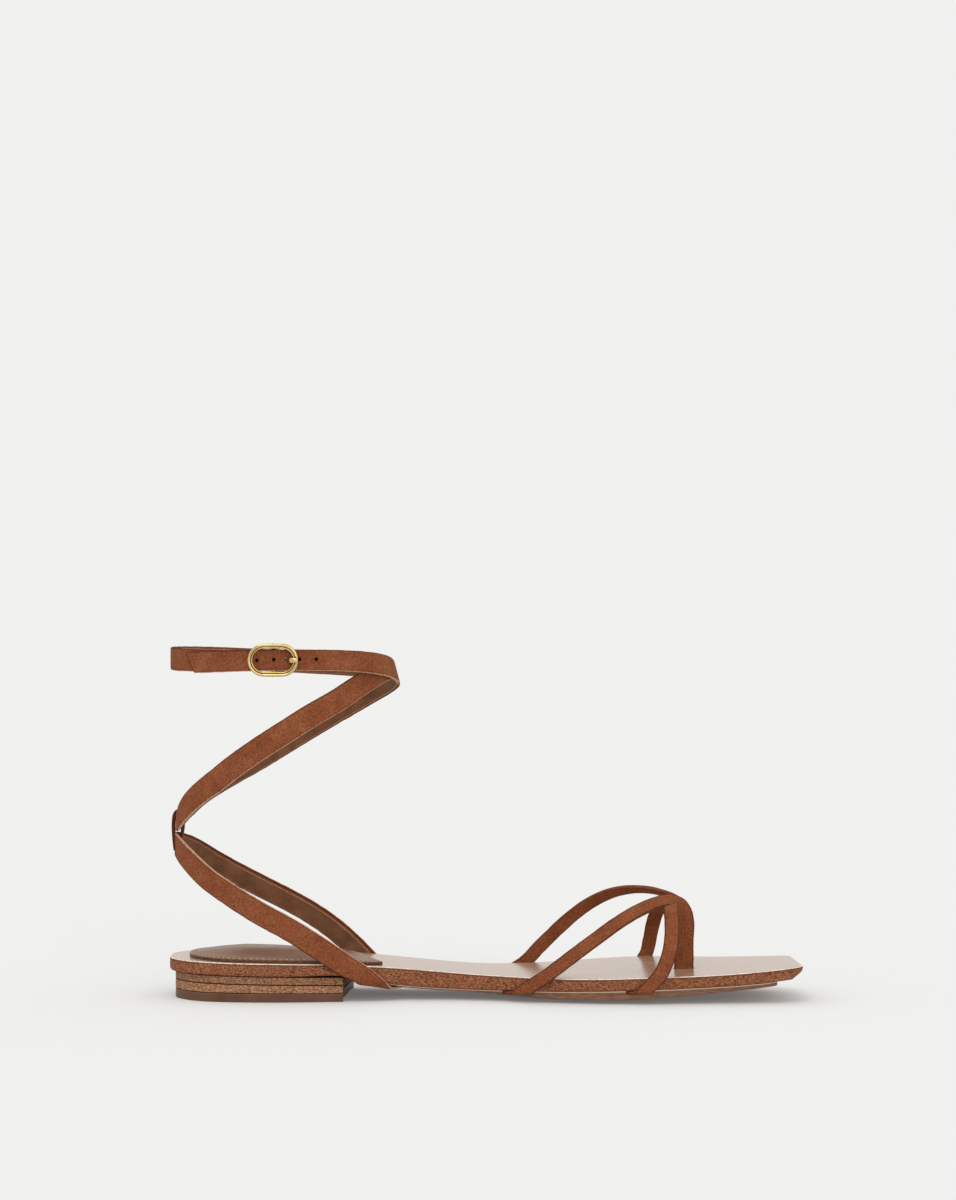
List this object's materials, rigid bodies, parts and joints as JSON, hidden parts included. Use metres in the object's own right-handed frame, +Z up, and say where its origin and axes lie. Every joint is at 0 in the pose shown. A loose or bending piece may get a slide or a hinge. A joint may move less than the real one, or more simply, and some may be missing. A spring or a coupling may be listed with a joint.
{
  "type": "ankle strap sandal",
  "caption": "Flat left-foot ankle strap sandal: leather footbed on a thin sole and stacked heel, toe post with crossing straps, heel strap and wound ankle strap with an oval buckle.",
  "frame": {"origin": "middle of the footprint, on the floor the shoe stands on", "axes": "+X from heel to toe, +Y towards the lateral (outer) side, +Z up"},
  "size_m": [0.2478, 0.0866, 0.1398],
  "materials": {
    "board_leather": "glossy pale top, raw fibrous brown edge",
    "outsole_leather": "smooth brown leather",
    "lift_leather": "raw fibrous cut edge",
    "top_piece_rubber": "smooth dark brown rubber",
    "pad_leather": "soft glossy padded leather, stitched round",
    "suede": "brown suede outside, smooth brown lining inside",
    "brass": "polished pale brass"
  },
  "bodies": {
    "root": {"insole_board": "board_leather", "outsole": "outsole_leather", "heel_lift_upper": "lift_leather", "heel_lift_lower": "lift_leather", "heel_top_piece": "top_piece_rubber", "heel_pad": "pad_leather", "toe_straps": "suede", "heel_strap": "suede", "ankle_strap": "suede", "buckle_frame": "brass", "buckle_prong": "brass"}
  },
  "joints": []
}
